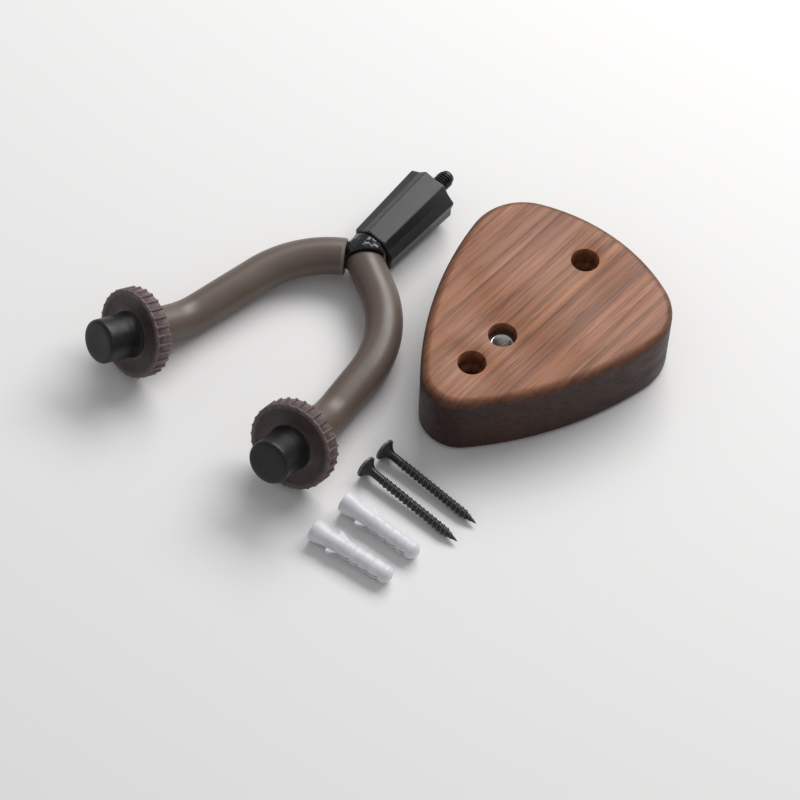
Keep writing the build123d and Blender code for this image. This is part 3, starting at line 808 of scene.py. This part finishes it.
def base_board():
    """Wooden base with its edges just broken, darkened towards its sides, and with painted shade in its holes."""
    source = nodes["wood_base"]
    piece = bpy.data.objects.new("base_board", source.data.copy())
    bpy.context.scene.collection.objects.link(piece)
    work = bmesh.new()
    work.from_mesh(piece.data)
    bmesh.ops.remove_doubles(work, verts=work.verts, dist=1e-6)
    work.to_mesh(piece.data)
    work.free()
    bevel = piece.modifiers.new("bevel", "BEVEL")
    bevel.width = BASE_BREAK
    bevel.segments = 2
    bevel.angle_limit = radians(50)
    depsgraph = bpy.context.evaluated_depsgraph_get()
    piece.data = bpy.data.meshes.new_from_object(piece.evaluated_get(depsgraph))
    piece.modifiers.clear()
    side_darkening_and_hole_shade = []
    for vertex in piece.data.vertices:
        x, y, z = vertex.co
        hole = min(np.hypot(x - hole_x, y - hole_y) for hole_x, hole_y in HOLE_PLACES)
        depth = BASE_TOP - z
        # Outside the holes the board darkens with depth below its top, down the sides.
        if hole > HOLE_RADIUS:
            side_darkening_and_hole_shade.append(float(np.clip(depth / BASE_ROUND, 0, 1)) ** EDGE_DARKENING_POWER)
        # Painted shade in the holes: walls and counterbore floors darkened, their rims left clear.
        elif depth < RIM_DEPTH:
            side_darkening_and_hole_shade.append(0.0)
        else:
            on_floor = FLOOR_DEPTHS[0] < depth < FLOOR_DEPTHS[1]
            side_darkening_and_hole_shade.append(FLOOR_SHADE if on_floor else WALL_SHADE)
    piece.data.attributes.new("side_darkening_and_hole_shade", "FLOAT", "POINT").data.foreach_set("value", side_darkening_and_hole_shade)
    finish_piece(shade(piece, 40), MATERIALS["walnut"], "walnut", "base", "wood_base")


def dress_cad_nodes():
    """Better materials on the CAD nodes that stay on show."""
    slots = {part["node"]: part["material_slot"] for part in frame["record"]["subparts"]}
    for name, node in nodes.items():
        node.data.materials.clear()
        node.data.materials.append(MATERIALS[slots[name]])


# ---------------------------------------------------------------- studio

def floor():
    level = cad_box[0][2] - FLOOR_GAP
    around = ((-1, -1), (1, -1), (1, 1), (-1, 1))
    corners = [(x * FLOOR_REACH, y * FLOOR_REACH, level) for x, y in around]
    piece = mesh_object("floor", corners, [(0, 1, 2, 3)])
    material, _, shader = new_material("floor", 0.85, specular=0.2)
    shader.inputs["Base Color"].default_value = FLOOR_COLOUR
    piece.data.materials.append(material)


def area_light(name, position, target, size, power):
    light = bpy.data.lights.new(name, "AREA")
    light.shape = "RECTANGLE"
    light.size, light.size_y = size
    light.energy = power
    lamp = bpy.data.objects.new(name, light)
    bpy.context.scene.collection.objects.link(lamp)
    lamp.location = position
    lamp.rotation_euler = (Vector(target) - Vector(position)).to_track_quat("-Z", "Y").to_euler()


def world_light(strength):
    world = bpy.data.worlds.new("studio")
    world.use_nodes = True
    background = world.node_tree.nodes["Background"]
    background.inputs["Color"].default_value = SKY_COLOUR
    background.inputs["Strength"].default_value = strength
    bpy.context.scene.world = world


def camera():
    azimuth = radians(CAMERA_AZIMUTH)
    elevation = radians(CAMERA_ELEVATION)
    back = Vector((sin(azimuth) * cos(elevation), -cos(azimuth) * cos(elevation), sin(elevation)))
    right = Vector((cos(azimuth), sin(azimuth), 0))
    up = back.cross(right)
    roll = radians(CAMERA_ROLL)
    tilted_right = right * cos(roll) + up * sin(roll)
    tilted_up = up * cos(roll) - right * sin(roll)
    data = bpy.data.cameras.new("camera")
    data.lens = CAMERA_LENS
    data.sensor_width = CAMERA_SENSOR
    lens = bpy.data.objects.new("camera", data)
    bpy.context.scene.collection.objects.link(lens)
    place = Matrix((tilted_right, tilted_up, back)).transposed().to_4x4()
    place.translation = CAMERA_TARGET + back * CAMERA_DISTANCE
    lens.matrix_world = place
    bpy.context.scene.camera = lens


dress_cad_nodes()
collar_grip()
threaded_stud()
crown()
insert_thread()
base_board()
for name in ("left", "right"):
    hose(name)
    keeper_ring(name)
    end_cap(name)
for index in (1, 2):
    wall_screw(index)
    wall_plug(index)
floor()
world_light(SKY_STRENGTH)
area_light("key", KEY_PLACE, KEY_TARGET, KEY_SIZE, KEY_POWER)
camera()
bpy.context.scene.view_settings.view_transform = "Standard"
